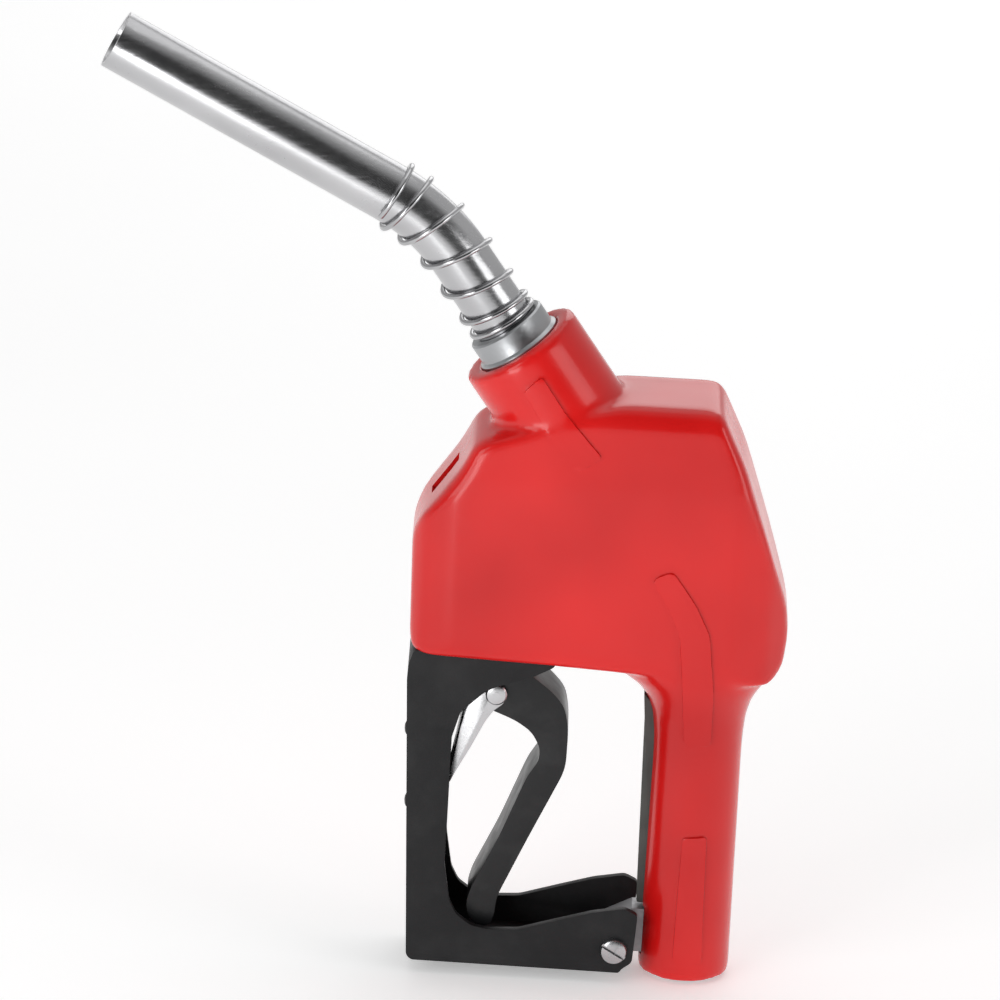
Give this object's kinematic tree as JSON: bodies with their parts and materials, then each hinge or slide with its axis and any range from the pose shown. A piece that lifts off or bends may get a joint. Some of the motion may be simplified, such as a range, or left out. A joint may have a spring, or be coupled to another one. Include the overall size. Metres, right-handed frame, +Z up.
{
  "type": "fuel nozzle",
  "caption": "Automatic shut-off fuel nozzle with a moulded hand cover, guarded lever with hold-open clip, bent metal spout and anchor spring.",
  "frame": {"origin": "centre of the hose inlet's mouth", "axes": "+Z up the handle away from the hose, -X towards the spout and the lever, Y across the body"},
  "size_m": [0.2824, 0.052, 0.386],
  "materials": {
    "cover_vinyl": "glossy",
    "casting_metal": "satin",
    "guard_plastic": "matte",
    "lever_finish": "satin",
    "strip_rubber": "matte",
    "spout_metal": "polished",
    "collar_metal": "satin",
    "spring_steel": "polished",
    "zinc_plate": "polished",
    "brass_fitting": "satin",
    "seal_rubber": "matte",
    "rack_steel": "satin"
  },
  "bodies": {
    "body": {"body_casting": "casting_metal", "hand_cover": "cover_vinyl", "handle_strip": "strip_rubber", "spout_tube": "spout_metal", "spout_collar": "collar_metal", "spout_spring": "spring_steel", "spout_seal": "seal_rubber", "spout_screw": "zinc_plate", "vent_tube": "collar_metal", "venturi_seat": "brass_fitting", "check_spring": "spring_steel", "check_retainer": "brass_fitting", "main_spring": "spring_steel", "main_cap": "brass_fitting", "main_cap_seal": "seal_rubber", "stem_packing": "seal_rubber", "packing_nut": "brass_fitting", "plunger_guide": "brass_fitting", "plunger_seal": "seal_rubber", "plunger_spring": "spring_steel", "latch_ring": "rack_steel", "diaphragm": "seal_rubber", "diaphragm_spring": "spring_steel", "diaphragm_cap": "casting_metal", "cap_screws": "zinc_plate", "lever_guard": "guard_plastic", "hold_rack": "rack_steel", "rack_rivets": "guard_plastic", "guard_screw": "zinc_plate", "guard_nut": "zinc_plate", "guard_pin": "zinc_plate"},
    "main_stem": {"main_stem": "zinc_plate", "main_poppet": "brass_fitting", "poppet_seal": "seal_rubber"},
    "plunger": {"plunger": "zinc_plate", "latch_balls": "zinc_plate", "lever_pin": "zinc_plate"},
    "latch": {"latch_pin": "zinc_plate", "diaphragm_plate": "zinc_plate"},
    "lever": {"lever": "lever_finish", "clip_pin": "zinc_plate", "clip_spring": "spring_steel"},
    "hold_clip": {"hold_clip": "zinc_plate"},
    "check": {"check_poppet": "brass_fitting"}
  },
  "joints": [
    {"name": "plunger_trip", "type": "slide", "parent": "body", "child": "plunger", "axis": [-0.0523, 0, -0.9986], "range_m": [0, 0.006], "stiffness_N_per_m": 3000, "springref_m": -0.006, "deforming": ["plunger_spring"]},
    {"name": "lever_pull", "type": "hinge", "parent": "plunger", "child": "lever", "pos_m": [-0.1, 0, 0.122], "axis": [0, -1, 0], "range_deg": [0, 16], "stiffness_Nm_per_rad": 6, "springref_deg": -8.59},
    {"name": "valve_lift", "type": "slide", "parent": "body", "child": "main_stem", "axis": [0.342, 0, 0.9397], "range_m": [0, 0.0109], "deforming": ["main_spring"]},
    {"name": "clip_swing", "type": "hinge", "parent": "lever", "child": "hold_clip", "pos_m": [-0.0816, 0, 0.1173], "axis": [0, 1, 0], "range_deg": [0, 10], "stiffness_Nm_per_rad": 0.1, "springref_deg": -17.19},
    {"name": "latch_lift", "type": "slide", "parent": "body", "child": "latch", "axis": [0.0523, 0, 0.9986], "range_m": [0, 0.004], "stiffness_N_per_m": 400, "springref_m": -0.004, "deforming": ["diaphragm_spring"]},
    {"name": "check_open", "type": "slide", "parent": "body", "child": "check", "axis": [-0.5878, 0, 0.809], "range_m": [0, 0.0045], "stiffness_N_per_m": 500, "springref_m": -0.004, "deforming": ["check_spring"]}
  ],
  "couplings": [
    {"joint": "valve_lift", "follows": "lever_pull", "m_per_rad": 0.038}
  ]
}
